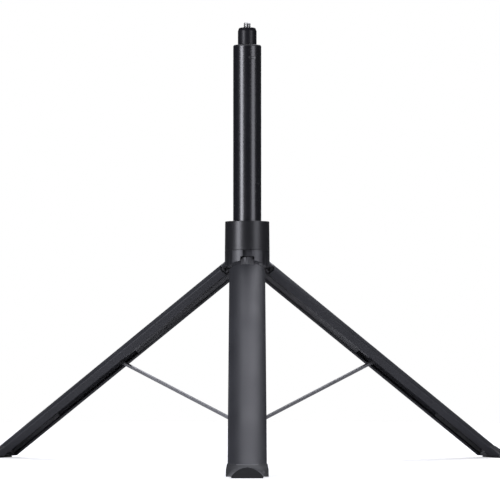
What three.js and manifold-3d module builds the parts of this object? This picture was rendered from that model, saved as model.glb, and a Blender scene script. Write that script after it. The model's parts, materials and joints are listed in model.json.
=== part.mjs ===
// A telescopic selfie stick that stands on three fold-out tripod legs.
// Millimetres, +Z up. Each leg is drawn hanging straight down from its hinge and then swung out.
// In a leg's own frame X runs across the leg, -Y points away from the pole and Z runs along it.
import * as THREE from 'three';
import { mergeVertices } from 'three/addons/utils/BufferGeometryUtils.js';
import Module from 'manifold-3d';

const wasm = await Module();
wasm.setup();

// ---- driving dimensions ----
const LEGS = 3;
const SEGMENTS = 36;             // facets round every tube, ring and collar
const ARC_STEPS = 12;            // facets across a leg's curved face
const GAP = 0.3;                 // clearance between pieces that meet

const TUBE_R = 12;               // outer tube, outside radius
const TUBE_WALL = 1;
const TUBE_TOP = 355;
const TUBE_BOTTOM = 41;
const RING_HEIGHT = 1.5;         // guide ring on top of each section

const INNER_RADII = [10.2, 8.7, 7.2, 5.7];   // sections 2 to 5, outside
const INNER_WALL = 0.8;
const BUSH_HEIGHT = 9;
const BUSH_STEP = 10.5;          // each section starts this much higher than the one around it
const SECTION_FLOOR = 51;        // underside of the lowest bush

const HEAD_R = 8;
const HEAD_TOP = 371;
const PAD_TOP = 371.3;
const SCREW_R = 3.175;           // quarter-inch camera screw
const SCREW_TOP = 375.8;
const SCREW_DEPTH = 7;           // how far the screw is set into the head
const SPIGOT_LENGTH = 14;        // of the head, inside the innermost section

const COLLAR_R = 19.1;
const COLLAR_TOP_R = 18.8;
const COLLAR_TOP = 206;
const COLLAR_SEAM = 181.3;       // between the upper sleeve and the hinge hub
const COLLAR_BOTTOM = 167.6;
const COLLAR_BORE = 12.35;
const SLEEVE_BORE = 14.2;

const HINGE_R = 16.5;            // hinge pin's distance from the pole's axis
const HINGE_Z = 171.6;
const HINGE_PIN_R = 0.95;
const HINGE_PIN_HALF = 6.9;      // half of the pin's length
const KNUCKLE_R = 4;
const TAB_HALF = 5.5;            // half width of the leg's hinge tab
const TAB_BACK = 3.2;            // the tab's inner face, towards the pole from the pin
const TAB_END = 7.75;            // the tab's lower end, along the leg from the pin
const NOSE_TOP = -6;             // the hub's nose that the open leg butts against, along the leg
const NOSE_END = 4.3;
const NOSE_INSIDE_R = 14;
const WINDOW_HALF = 3.85;        // recess above each knuckle
const WINDOW_FLOOR_R = 15.6;
const OPEN_DEGREES = 55.2;
const OPEN_ANGLE = THREE.MathUtils.degToRad(OPEN_DEGREES);

const LEG_R = 19;                // leg's curved face, as a cylinder around the pole
const LEG_HALF = THREE.MathUtils.degToRad(54.5);
const LEG_EDGE_R = 12.2;         // the side walls' free edges
const LEG_EDGE_HALF = THREE.MathUtils.degToRad(57.5);
const LEG_INSIDE_R = 17.5;
const LEG_INSIDE_HALF = THREE.MathUtils.degToRad(48);
const SHELL_START = 4.9;         // distances along the leg, from the hinge
const SHELL_END = 288.5;
const NOTCH_END = 7.9;           // end of the shell's notch for the hinge tab
const LINER_START = 5;
const LINER_END = 125;
const HOLLOW_START = 20.2;       // the liner's weight-saving hollow under the shell
const HOLLOW_END = 104.2;
const HOLLOW_HALF = 7.5;
const BOSS_END = 136;
const BOSS_HALF = 0.38;          // radians across the leg, like the next
const EAR_HALF = 0.3;
const EAR_START = 138.6;         // the slot between the ears begins here
const EAR_END = 146.2;

const STRUT_LEG = 143.1;         // strut pivot on the leg, along it from the hinge
const STRUT_R = 15;              // both strut pivots' distance from the pole's axis, folded
const STRUT_HUB_Z = 37.4;        // strut pivot on the base hub
const HUB_BODY_R = 10;
const HUB_BODY_DROP = 4.4;       // underside of the base hub, below that pivot
const HUB_FLANGE = 1.2;          // rim that the outer tube stands on
const HUB_PLUG_HEIGHT = 8;       // inside the outer tube
const HUB_PLUG_HOLE_R = 7;
const HUB_LUG_HALF = 4.4;
const HUB_LUG_RISE = 2.2;
const HUB_LUG_DROP = 2.4;
const CAP_HEIGHT = 2;
const CAP_R = 9.6;
const EYE_R = 1.9;
const EYE_HALF = 2.25;
const BAR_THICK = 2.3;
const STRUT_PIN_R = 0.9;
const STRUT_HOLE_R = 1.1;

const FOOT_REACH = 256.8;        // pole axis to the upright end of a foot
const BOOT_TOP = 10.5;           // heights above the floor
const BOOT_SOLE = 1.1;
const SHELL_SOLE = 1.6;
const BOOT_START = 262;
const BOOT_R = 20.4;
const BOOT_HALF = THREE.MathUtils.degToRad(54);
const BOOT_EDGE_R = 12.3;
const BOOT_RIM = 0.6;            // step round the upright end
const ARCH_R = 16;               // the arch that the pad fills
const ARCH_SHIFT = 3.3;          // its middle, outward from the pole's axis
const PAD_START = 289.8;         // along the leg; the boot's bulkhead is between this and the shell
const PAD_HALF = 12.4;
const PAD_INSIDE_R = 8.5;
const PAD_SET_BACK = 0.5;        // the pad's face behind the boot's rim
const FOOT_LIMIT = 305;          // beyond the end of any foot
const TONGUE_START = 226;
const TONGUE_FORK = 285;         // the two tongues are joined beyond this
const TONGUE_GAP_HALF = 10.8;

// ---- materials ----
function material(color, roughness, metalness) {
  return new THREE.MeshStandardMaterial({ color, roughness, metalness });
}

const GLOSS_BLACK = [0x0d0d10, 0.22, 0.5];
const SATIN_BLACK = [0x1c1d20, 0.45, 0.2];
const LEG_GREY = [0x2c2d31, 0.42, 0.3];
const DARK_PLASTIC = [0x17181a, 0.6, 0];
const STEEL = [0x8b8c8e, 0.35, 0.9];
const BRIGHT_STEEL = [0xc8c8c4, 0.25, 1];
const RUBBER = [0x101012, 0.85, 0];
const NYLON = [0x3a3b3e, 0.55, 0];

// ---- making solids ----
// A closed geometry as a solid that can be joined and cut.
function solid(geometry) {
  const bare = geometry.clone();
  bare.deleteAttribute('normal');
  bare.deleteAttribute('uv');
  const merged = mergeVertices(bare, 1e-4);
  const at = merged.attributes.position;
  const corner = [new THREE.Vector3(), new THREE.Vector3(), new THREE.Vector3()];
  const triangles = [];
  let volume = 0;
  for (let i = 0; i < merged.index.count; i += 3) {
    const abc = [0, 1, 2].map((n) => merged.index.getX(i + n));
    if (new Set(abc).size < 3) continue;
    abc.forEach((v, n) => corner[n].fromBufferAttribute(at, v));
    volume += corner[0].dot(corner[1].clone().cross(corner[2]));
    triangles.push(abc);
  }
  const outward = volume > 0 ? triangles : triangles.map(([a, b, c]) => [a, c, b]);
  return new wasm.Manifold(new wasm.Mesh({
    numProp: 3,
    vertProperties: new Float32Array(at.array),
    triVerts: new Uint32Array(outward.flat()),
  }));
}

function mesh(name, body, [color, roughness, metalness]) {
  const found = body.getMesh();
  const geometry = new THREE.BufferGeometry();
  geometry.setAttribute('position', new THREE.Float32BufferAttribute(found.vertProperties, 3));
  geometry.setIndex([...found.triVerts]);
  geometry.computeVertexNormals();
  const made = new THREE.Mesh(geometry, material(color, roughness, metalness));
  made.name = name;
  return made;
}

// A profile of [radius, height] points turned about Z. It closes on itself.
function turned(profile) {
  const points = [...profile, profile[0]].map(([r, z]) => new THREE.Vector2(r, z));
  return solid(new THREE.LatheGeometry(points, SEGMENTS).rotateX(Math.PI / 2));
}

function ring(inside, outside, bottom, top, bevel = 0) {
  return turned([
    [inside, bottom],
    [outside, bottom],
    [outside, top - bevel],
    [outside - bevel, top],
    [inside, top],
  ].filter(([r, z], i, all) => i === 0 || r !== all[i - 1][0] || z !== all[i - 1][1]));
}

function disc(radius, bottom, top, bevel = 0) {
  const points = [[0, bottom], [radius, bottom], [radius, top - bevel]];
  if (bevel > 0) points.push([radius - bevel, top]);
  points.push([0, top]);
  return turned(points);
}

function box(width, depth, height, x, y, z) {
  return solid(new THREE.BoxGeometry(width, depth, height).translate(x, y, z));
}

// A cylinder lying across a leg, along X.
function crossBar(radius, half, y, z, steps = 16) {
  const bar = new THREE.CylinderGeometry(radius, radius, 2 * half, steps);
  return solid(bar.rotateZ(Math.PI / 2).translate(0, y, z));
}

// An outline of [outward, up] points, spread across a leg from -half to half.
function crossPlate(outline, half) {
  const shape = new THREE.Shape(outline.map(([out, up]) => new THREE.Vector2(out, up)));
  const plate = new THREE.ExtrudeGeometry(shape, { depth: 2 * half, bevelEnabled: false });
  plate.translate(0, 0, -half);
  const outward = new THREE.Vector3(0, -1, 0);
  const up = new THREE.Vector3(0, 0, 1);
  plate.applyMatrix4(new THREE.Matrix4().makeBasis(outward, up, outward.clone().cross(up)));
  return solid(plate);
}

function arc(radius, from, to) {
  const points = [];
  for (let i = 0; i <= ARC_STEPS; i += 1) {
    const angle = from + (to - from) * i / ARC_STEPS;
    points.push(new THREE.Vector2(radius * Math.sin(angle), -radius * Math.cos(angle)));
  }
  return points;
}

// Part of a ring around the pole, facing -Y, in the leg's frame between two distances from the hinge.
function sector(outerR, outerHalf, innerR, innerHalf, start, end) {
  const shape = new THREE.Shape([
    ...arc(outerR, -outerHalf, outerHalf),
    ...arc(innerR, innerHalf, -innerHalf),
  ]);
  const length = end - start;
  const geometry = new THREE.ExtrudeGeometry(shape, { depth: length, bevelEnabled: false });
  return solid(geometry.translate(0, HINGE_R, -end));
}

// A box given by height above the floor and reach from the pole, as the open leg's frame sees it.
function openBox(reachFrom, reachTo, heightFrom, heightTo) {
  const geometry = new THREE.BoxGeometry(60, reachTo - reachFrom, heightTo - heightFrom);
  geometry.translate(0, HINGE_R - (reachFrom + reachTo) / 2, (heightFrom + heightTo) / 2 - HINGE_Z);
  return solid(geometry.rotateX(OPEN_ANGLE));
}

// Where a point of the leg, by distance from the pole and along the leg, lies when the leg is open.
function openPoint(radius, along) {
  const reach = radius - HINGE_R;
  return {
    radius: HINGE_R + reach * Math.cos(OPEN_ANGLE) + along * Math.sin(OPEN_ANGLE),
    height: HINGE_Z + reach * Math.sin(OPEN_ANGLE) - along * Math.cos(OPEN_ANGLE),
  };
}

// ---- the pole ----
function outerTube() {
  return ring(TUBE_R - TUBE_WALL, TUBE_R, TUBE_BOTTOM, TUBE_TOP);
}

// The ring that guides the next section, on top of a section.
function guideRing(radius, nextRadius) {
  return ring(nextRadius + GAP, radius - 0.05, TUBE_TOP, TUBE_TOP + RING_HEIGHT, 0.8);
}

function sectionBottom(index) {
  return SECTION_FLOOR + BUSH_HEIGHT + BUSH_STEP * index;
}

function sectionTube(index) {
  const radius = INNER_RADII[index];
  return ring(radius - INNER_WALL, radius, sectionBottom(index), TUBE_TOP);
}

// The bush that carries a section's foot inside the section around it.
function sectionBush(index) {
  const around = index === 0 ? TUBE_R - TUBE_WALL : INNER_RADII[index - 1] - INNER_WALL;
  const bottom = sectionBottom(index) - BUSH_HEIGHT;
  return ring(INNER_RADII[index] - INNER_WALL - 1.2, around - GAP, bottom, bottom + BUSH_HEIGHT);
}

function poleHead() {
  const spigot = INNER_RADII[3] - INNER_WALL - 0.1;
  return turned([
    [0, TUBE_TOP - SPIGOT_LENGTH],
    [spigot, TUBE_TOP - SPIGOT_LENGTH],
    [spigot, TUBE_TOP],
    [INNER_RADII[3], TUBE_TOP],
    [INNER_RADII[3], TUBE_TOP + RING_HEIGHT + 0.1],
    [HEAD_R, TUBE_TOP + RING_HEIGHT + 0.1],
    [HEAD_R, HEAD_TOP - 2.6],
    [HEAD_R - 0.9, HEAD_TOP],
    [SCREW_R + GAP, HEAD_TOP],
    [SCREW_R + GAP, HEAD_TOP - SCREW_DEPTH],
    [0, HEAD_TOP - SCREW_DEPTH],
  ]);
}

function headPad() {
  return ring(SCREW_R + GAP, HEAD_R - 1.6, HEAD_TOP, PAD_TOP);
}

function cameraScrew() {
  return disc(SCREW_R, HEAD_TOP - SCREW_DEPTH, SCREW_TOP, 0.7);
}

// ---- the base hub that the struts pull on ----
function baseHub() {
  const underside = STRUT_HUB_Z - HUB_BODY_DROP;
  const plug = TUBE_R - TUBE_WALL - 0.1;
  const core = turned([
    [0, underside],
    [HUB_BODY_R, underside],
    [HUB_BODY_R, TUBE_BOTTOM - HUB_FLANGE],
    [TUBE_R, TUBE_BOTTOM - HUB_FLANGE],
    [TUBE_R, TUBE_BOTTOM],
    [plug, TUBE_BOTTOM],
    [plug, TUBE_BOTTOM + HUB_PLUG_HEIGHT],
    [HUB_PLUG_HOLE_R, TUBE_BOTTOM + HUB_PLUG_HEIGHT],
    [HUB_PLUG_HOLE_R, TUBE_BOTTOM + 2],
    [0, TUBE_BOTTOM + 2],
  ]);
  const lugTop = STRUT_HUB_Z + HUB_LUG_RISE;
  const lugBottom = STRUT_HUB_Z - HUB_LUG_DROP;
  const lugOutside = STRUT_R + 1.5;
  const lugInside = HUB_BODY_R - 1;
  const lugs = crossPlate(
    [[lugInside, lugBottom], [lugOutside, lugBottom], [lugOutside, lugTop], [lugInside, lugTop]],
    HUB_LUG_HALF,
  );
  const between = box(2 * (EYE_HALF + 0.35), 8, 8, 0, -HUB_BODY_R - 4.4, STRUT_HUB_Z);
  const halfSlot = STRUT_PIN_R + 0.3;
  // The slot opens downward and slants towards the pole.
  const slot = crossPlate([
    [STRUT_R - halfSlot, STRUT_HUB_Z + halfSlot],
    [STRUT_R - halfSlot, STRUT_HUB_Z],
    [STRUT_R - halfSlot - 1, lugBottom - 1],
    [STRUT_R + halfSlot, lugBottom - 1],
    [STRUT_R + halfSlot, STRUT_HUB_Z + halfSlot],
  ], HUB_LUG_HALF + 1);
  const pair = lugs.subtract(between).subtract(slot);
  let hub = core;
  for (let k = 0; k < LEGS; k += 1) hub = hub.add(pair.rotate([0, 0, 120 * k]));
  return hub;
}

function baseCap() {
  const top = STRUT_HUB_Z - HUB_BODY_DROP;
  return turned([
    [0, top - CAP_HEIGHT],
    [CAP_R - 1.2, top - CAP_HEIGHT],
    [CAP_R, top - CAP_HEIGHT / 2],
    [CAP_R, top],
    [0, top],
  ]);
}

// ---- the collar ----
function collarSleeve() {
  return turned([
    [SLEEVE_BORE, COLLAR_SEAM + 0.15],
    [COLLAR_R - 0.02, COLLAR_SEAM + 0.15],
    [COLLAR_TOP_R, COLLAR_TOP - 1.2],
    [COLLAR_TOP_R - 0.4, COLLAR_TOP],
    [COLLAR_BORE, COLLAR_TOP],
    [COLLAR_BORE, COLLAR_TOP - 2],
    [SLEEVE_BORE, COLLAR_TOP - 2],
  ]);
}

function collarBush() {
  return ring(COLLAR_BORE, SLEEVE_BORE - GAP, COLLAR_SEAM + 0.2, COLLAR_TOP - 2.2);
}

// Moves a piece drawn in a leg's own frame to where the open leg puts it, for leg 1.
function opened(piece) {
  return piece.rotate([-OPEN_DEGREES, 0, 0]).translate([0, -HINGE_R, HINGE_Z]);
}

// Each nose carries the open leg's rounded face on into the collar.
function legHub() {
  let hub = turned([
    [COLLAR_BORE, COLLAR_BOTTOM],
    [COLLAR_R - 0.4, COLLAR_BOTTOM],
    [COLLAR_R, COLLAR_BOTTOM + 0.4],
    [COLLAR_R, COLLAR_SEAM],
    [COLLAR_BORE, COLLAR_SEAM],
  ]);
  const nose = opened(sector(LEG_R, LEG_HALF, NOSE_INSIDE_R, LEG_HALF, NOSE_TOP, NOSE_END))
    .intersect(ring(COLLAR_BORE + 1, COLLAR_R + 8, COLLAR_BOTTOM, COLLAR_SEAM - 1));
  const slotTop = HINGE_Z + KNUCKLE_R + 0.4;
  const slotBottom = COLLAR_BOTTOM - 1;
  const slotHeight = slotTop - slotBottom;
  const slotDepth = 14;
  const slotMiddle = (slotTop + slotBottom) / 2;
  const slotY = -(COLLAR_BORE - 0.15 + slotDepth / 2);
  const slot = box(2 * (TAB_HALF + 0.4), slotDepth, slotHeight, 0, slotY, slotMiddle);
  const windowHeight = COLLAR_SEAM - slotTop + 2;
  const windowMiddle = COLLAR_SEAM + 1 - windowHeight / 2;
  const window = box(2 * WINDOW_HALF, 5, windowHeight, 0, -WINDOW_FLOOR_R - 2.5, windowMiddle);
  const pinHole = crossBar(HINGE_PIN_R + 0.1, HINGE_PIN_HALF + 0.1, -HINGE_R, HINGE_Z);
  for (let k = 0; k < LEGS; k += 1) {
    const turn = [0, 0, 120 * k];
    hub = hub.add(nose.rotate(turn));
    for (const cut of [slot, window, pinHole]) hub = hub.subtract(cut.rotate(turn));
  }
  return hub;
}

function hingePin() {
  return crossBar(HINGE_PIN_R, HINGE_PIN_HALF, 0, 0);
}

// ---- a leg ----
function legShell() {
  const outside = sector(LEG_R, LEG_HALF, LEG_EDGE_R, LEG_EDGE_HALF, SHELL_START, SHELL_END);
  const inside = sector(
    LEG_INSIDE_R, LEG_INSIDE_HALF, LEG_EDGE_R - 3, LEG_INSIDE_HALF + 0.02,
    SHELL_START - 1, SHELL_END + 1,
  );
  const notchDepth = 2 * (NOTCH_END - SHELL_START);
  const notch = box(2 * (TAB_HALF + GAP), 8, notchDepth, 0, -3, -SHELL_START);
  const belowSole = openBox(150, FOOT_REACH + 20, -20, SHELL_SOLE);
  return outside.subtract(inside).subtract(notch).subtract(belowSole);
}

// The moulded liner: hinge tab, underside cover, and the two ears that hold the strut's pin.
function legLiner() {
  const lining = LEG_INSIDE_R - GAP;
  const half = LEG_INSIDE_HALF - 0.02;
  const cover = sector(lining, half, LEG_EDGE_R + 0.1, half, LINER_START, LINER_END);
  const hollowLength = HOLLOW_END - HOLLOW_START;
  const hollowMiddle = (HOLLOW_START + HOLLOW_END) / 2;
  const hollow = box(2 * HOLLOW_HALF, 2, hollowLength, 0, HINGE_R - lining, -hollowMiddle);
  const boss = sector(lining, BOSS_HALF, LEG_EDGE_R + 0.3, BOSS_HALF + 0.1, LINER_END - 1, BOSS_END);
  const ears = sector(lining, EAR_HALF, LEG_EDGE_R + 0.7, EAR_HALF + 0.08, BOSS_END - 1, EAR_END);
  const eyeSlot = box(2 * (EYE_HALF + 0.4), 12, 20, 0, HINGE_R - STRUT_R, -(EAR_START + 10));
  const pinHole = crossBar(STRUT_PIN_R + 0.15, 12, HINGE_R - STRUT_R, -STRUT_LEG);
  const knuckle = crossBar(KNUCKLE_R, TAB_HALF, 0, 0, 24);
  const front = LEG_R - HINGE_R + 1;
  const plate = crossPlate(
    [[-TAB_BACK, 0], [-TAB_BACK, -TAB_END], [front, -TAB_END], [front, 0]],
    TAB_HALF,
  );
  const legRound = disc(LEG_R - 0.05, -TAB_END - 1, KNUCKLE_R + 1).translate([0, HINGE_R, 0]);
  const tab = knuckle.add(plate).intersect(legRound);
  const hingeHole = crossBar(HINGE_PIN_R + 0.15, TAB_HALF + 1, 0, 0);
  return cover.subtract(hollow)
    .add(boss).add(ears).add(tab)
    .subtract(eyeSlot).subtract(pinHole).subtract(hingeHole);
}

function strutHeadPin() {
  return crossBar(STRUT_PIN_R, 4.2, HINGE_R - STRUT_R, -STRUT_LEG);
}

// The round-topped shape of the foot's arch, running along the leg.
function archway(radius, start, end) {
  return disc(radius, -end, -start).translate([0, HINGE_R - ARCH_SHIFT, 0]);
}

// The rubber pad that fills the foot's arch and stands on the floor.
function footPad() {
  const core = disc(PAD_INSIDE_R, -FOOT_LIMIT - 1, -PAD_START + 1).translate([0, HINGE_R, 0]);
  const middle = (PAD_START + FOOT_LIMIT) / 2;
  const sides = box(2 * PAD_HALF, 80, FOOT_LIMIT - PAD_START, 0, 0, -middle);
  return archway(ARCH_R, PAD_START, FOOT_LIMIT)
    .intersect(sides)
    .subtract(core)
    .intersect(openBox(150, FOOT_REACH - PAD_SET_BACK, 0, 40));
}

// The moulded boot around the leg's end, with a tongue on each side up inside the leg.
function footBoot() {
  const whole = sector(BOOT_R, BOOT_HALF, BOOT_EDGE_R, LEG_EDGE_HALF, BOOT_START, FOOT_LIMIT);
  const rim = sector(
    BOOT_R - BOOT_RIM, BOOT_HALF, BOOT_EDGE_R, LEG_EDGE_HALF, BOOT_START, FOOT_LIMIT,
  ).intersect(openBox(150, FOOT_REACH, BOOT_SOLE, BOOT_TOP));
  const behindRim = whole.intersect(openBox(150, FOOT_REACH - BOOT_RIM, BOOT_SOLE, BOOT_TOP));
  const socket = sector(
    LEG_R + 0.2, LEG_HALF + 0.012, LEG_EDGE_R - 2, LEG_EDGE_HALF + 0.1,
    BOOT_START - 7, SHELL_END + 0.2,
  );
  const padRoom = archway(ARCH_R + 0.15, PAD_START - 0.2, FOOT_LIMIT + 1)
    .intersect(box(2 * (PAD_HALF + 0.15), 80, 200, 0, 0, -FOOT_LIMIT));
  const lining = LEG_INSIDE_R - GAP;
  const half = LEG_INSIDE_HALF - 0.02;
  const forkLength = TONGUE_FORK - TONGUE_START + 10;
  const fork = box(2 * TONGUE_GAP_HALF, 40, forkLength, 0, 0, -TONGUE_FORK + forkLength / 2);
  const tongues = sector(lining, half, LEG_EDGE_R + 0.8, half, TONGUE_START, SHELL_END + 1)
    .subtract(fork);
  return behindRim.add(rim).subtract(socket).subtract(padRoom).add(tongues);
}

// ---- a strut, drawn hanging from its upper pivot ----
const legPivot = openPoint(STRUT_R, STRUT_LEG);
const STRUT_LENGTH = Math.hypot(legPivot.radius - STRUT_R, legPivot.height - STRUT_HUB_Z);
const STRUT_ANGLE = Math.atan2(legPivot.radius - STRUT_R, legPivot.height - STRUT_HUB_Z);

function strutBar() {
  const bar = box(2 * EYE_HALF, BAR_THICK, STRUT_LENGTH, 0, 0, -STRUT_LENGTH / 2);
  let strut = bar;
  for (const z of [0, -STRUT_LENGTH]) {
    strut = strut.add(crossBar(EYE_R, EYE_HALF, 0, z));
  }
  for (const z of [0, -STRUT_LENGTH]) {
    strut = strut.subtract(crossBar(STRUT_HOLE_R, EYE_HALF + 1, 0, z));
  }
  return strut;
}

function strutFootPin() {
  return crossBar(STRUT_PIN_R, 5, 0, -STRUT_LENGTH);
}

// ---- assembly ----
function addPole(model) {
  model.add(mesh('outer_tube', outerTube(), GLOSS_BLACK));
  const radii = [TUBE_R, ...INNER_RADII];
  for (let n = 0; n < INNER_RADII.length; n += 1) {
    model.add(mesh(`guide_ring_${n + 1}`, guideRing(radii[n], radii[n + 1]), DARK_PLASTIC));
    model.add(mesh(`tube_${n + 2}`, sectionTube(n), GLOSS_BLACK));
    model.add(mesh(`bush_${n + 2}`, sectionBush(n), NYLON));
  }
  model.add(mesh('pole_head', poleHead(), SATIN_BLACK));
  model.add(mesh('head_pad', headPad(), RUBBER));
  model.add(mesh('camera_screw', cameraScrew(), BRIGHT_STEEL));
  model.add(mesh('base_hub', baseHub(), DARK_PLASTIC));
  model.add(mesh('base_cap', baseCap(), RUBBER));
}

function addCollar(model) {
  model.add(mesh('collar_sleeve', collarSleeve(), SATIN_BLACK));
  model.add(mesh('collar_bush', collarBush(), NYLON));
  model.add(mesh('leg_hub', legHub(), SATIN_BLACK));
}

function addLeg(model, number) {
  const side = new THREE.Group();
  side.rotation.z = (number - 1) * 2 * Math.PI / LEGS;
  const pin = mesh(`hinge_pin_${number}`, hingePin(), STEEL);
  pin.position.set(0, -HINGE_R, HINGE_Z);
  const leg = new THREE.Group();
  leg.position.copy(pin.position);
  leg.rotation.x = -OPEN_ANGLE;
  leg.add(mesh(`leg_shell_${number}`, legShell(), LEG_GREY));
  leg.add(mesh(`leg_liner_${number}`, legLiner(), DARK_PLASTIC));
  leg.add(mesh(`strut_head_pin_${number}`, strutHeadPin(), STEEL));
  leg.add(mesh(`foot_boot_${number}`, footBoot(), DARK_PLASTIC));
  leg.add(mesh(`foot_pad_${number}`, footPad(), RUBBER));
  const strut = new THREE.Group();
  strut.position.set(0, -legPivot.radius, legPivot.height);
  strut.rotation.x = STRUT_ANGLE;
  strut.add(mesh(`strut_${number}`, strutBar(), STEEL));
  strut.add(mesh(`strut_foot_pin_${number}`, strutFootPin(), STEEL));
  side.add(pin, leg, strut);
  model.add(side);
}

const model = new THREE.Group();
addPole(model);
addCollar(model);
for (let number = 1; number <= LEGS; number += 1) addLeg(model, number);

// The origin is on the floor, under the middle of the whole object.
model.updateMatrixWorld(true);
const bounds = new THREE.Box3().setFromObject(model, true);
const middle = bounds.getCenter(new THREE.Vector3());
model.position.set(-middle.x, -middle.y, -bounds.min.z);

export default model;
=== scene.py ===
"""A selfie stick that stands on its own fold-out legs, dressed around its CAD frame. Metres."""
import json
from math import asin, atan2, copysign, cos, hypot, pi, radians, sin, tan

import bmesh
import bpy
import numpy as np
from mathutils import Matrix, Vector


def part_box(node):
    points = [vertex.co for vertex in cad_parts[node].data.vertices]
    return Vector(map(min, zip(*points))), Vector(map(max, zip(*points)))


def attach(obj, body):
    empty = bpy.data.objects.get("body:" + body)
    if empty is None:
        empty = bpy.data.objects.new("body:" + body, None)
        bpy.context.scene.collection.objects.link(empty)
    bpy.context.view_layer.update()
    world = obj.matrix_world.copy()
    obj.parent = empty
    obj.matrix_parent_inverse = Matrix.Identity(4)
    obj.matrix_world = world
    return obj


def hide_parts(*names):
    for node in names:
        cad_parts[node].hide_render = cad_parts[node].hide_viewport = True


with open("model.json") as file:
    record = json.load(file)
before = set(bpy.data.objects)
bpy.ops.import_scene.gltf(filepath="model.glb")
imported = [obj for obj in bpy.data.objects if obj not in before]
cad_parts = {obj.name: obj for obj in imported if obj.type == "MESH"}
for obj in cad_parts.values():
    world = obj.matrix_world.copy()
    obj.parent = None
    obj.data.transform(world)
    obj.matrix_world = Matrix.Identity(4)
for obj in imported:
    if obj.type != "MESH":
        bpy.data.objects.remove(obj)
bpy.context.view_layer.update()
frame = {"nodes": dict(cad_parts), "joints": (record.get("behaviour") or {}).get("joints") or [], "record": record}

MM = 0.001
LEGS = (1, 2, 3)
SECTIONS = (2, 3, 4, 5)

# ---- what the frame says ----
record = frame["record"]
BODY_OF = {node: body for body, nodes in record["behaviour"]["bodies"].items() for node in nodes}
SLOT_OF = {part["node"]: part["material_slot"] for part in record["subparts"]}
JOINTS = {joint["name"]: joint for joint in frame["joints"]}
TUBE_LOW, TUBE_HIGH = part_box("outer_tube")
AXIS = Vector(((TUBE_LOW.x + TUBE_HIGH.x) / 2, (TUBE_LOW.y + TUBE_HIGH.y) / 2, 0))
POLE = Matrix.Translation(AXIS)


def radius_of(node):
    """Half of a node's width, which is its radius where it is round about the pole."""
    low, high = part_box(node)
    return (high.x - low.x) / 2


def hinge_place(number):
    """A leg's hinge, with X along its pin and -Y pointing away from the pole."""
    hinge = JOINTS[f"leg_hinge_{number}"]
    turn = atan2(hinge["axis"][1], hinge["axis"][0])
    return Matrix.Translation(hinge["pos_m"]) @ Matrix.Rotation(turn, 4, "Z")


def leg_place(number):
    """A leg's own frame: the hinge's frame swung out with the leg, so that Z runs along it."""
    swing = radians(JOINTS[f"leg_hinge_{number}"]["range_deg"][1])
    return hinge_place(number) @ Matrix.Rotation(-swing, 4, "X")


def strut_place(number):
    """A strut's own frame, at its upper pin, with X along the pin and Z up the strut."""
    joint = JOINTS[f"strut_hinge_{number}"]
    head = Vector(joint["pos_m"])
    low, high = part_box(f"strut_foot_pin_{number}")
    up = (head - (low + high) / 2).normalized()
    pin_way = Vector(joint["axis"])
    turned_frame = Matrix((pin_way, up.cross(pin_way), up)).transposed().to_4x4()
    return Matrix.Translation(head) @ turned_frame


def local_box(node, place):
    """A node's lowest and highest corner in another frame."""
    back = place.inverted()
    corners = np.array([back @ vertex.co for vertex in frame["nodes"][node].data.vertices])
    return Vector(corners.min(0)), Vector(corners.max(0))


# Every leg's hinge: its distance from the pole's axis, its height, and how far the leg swings.
HINGE_REACH = hypot(*(Vector(JOINTS["leg_hinge_1"]["pos_m"]) - AXIS).xy)
HINGE_Z = JOINTS["leg_hinge_1"]["pos_m"][2]
SWING = radians(JOINTS["leg_hinge_1"]["range_deg"][1])


# ---- camera ----
CAMERA_DISTANCE = 2.5491
CAMERA_HEIGHT = 0.1123
CAMERA_PITCH = radians(91.559)
CAMERA_YAW = radians(-0.053)
CAMERA_LENS = 215.53
SENSOR_WIDTH = 36

camera_data = bpy.data.cameras.new("camera")
camera_data.lens = CAMERA_LENS
camera_data.sensor_width = SENSOR_WIDTH
camera_data.clip_start = 0.05
camera_data.clip_end = 50
camera = bpy.data.objects.new("camera", camera_data)
camera.location = AXIS + Vector((0, -CAMERA_DISTANCE, CAMERA_HEIGHT))
camera.rotation_euler = (CAMERA_PITCH, 0, CAMERA_YAW)
bpy.context.scene.collection.objects.link(camera)
bpy.context.scene.camera = camera


# ---- finishes ----
PATCH_SCALE = 25
PATCH_SHADE = 0.12


def noise(nodes, links, place, scale, detail, stretch=(1, 1, 1)):
    """A noise of the place, which a stretch below 1 draws out along that axis."""
    mapping = nodes.new("ShaderNodeMapping")
    mapping.inputs["Scale"].default_value = stretch
    links.new(place, mapping.inputs["Vector"])
    made = nodes.new("ShaderNodeTexNoise")
    made.inputs["Scale"].default_value = scale
    made.inputs["Detail"].default_value = detail
    links.new(mapping.outputs["Vector"], made.inputs["Vector"])
    return made.outputs["Fac"]


def spread(nodes, links, value, low, high, from_low=0.3, from_high=0.7):
    """A value's range mapped to another range."""
    made = nodes.new("ShaderNodeMapRange")
    made.inputs["From Min"].default_value = from_low
    made.inputs["From Max"].default_value = from_high
    made.inputs["To Min"].default_value = low
    made.inputs["To Max"].default_value = high
    links.new(value, made.inputs["Value"])
    return made.outputs["Result"]


def blended(nodes, links, factor, first, second):
    """A colour between two, each a colour or a node's output."""
    made = nodes.new("ShaderNodeMix")
    made.data_type = "RGBA"
    for socket, colour in ((made.inputs[6], first), (made.inputs[7], second)):
        if isinstance(colour, tuple):
            socket.default_value = (*colour, 1)
        else:
            links.new(colour, socket)
    links.new(factor, made.inputs[0])
    return made.outputs[2]


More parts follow.
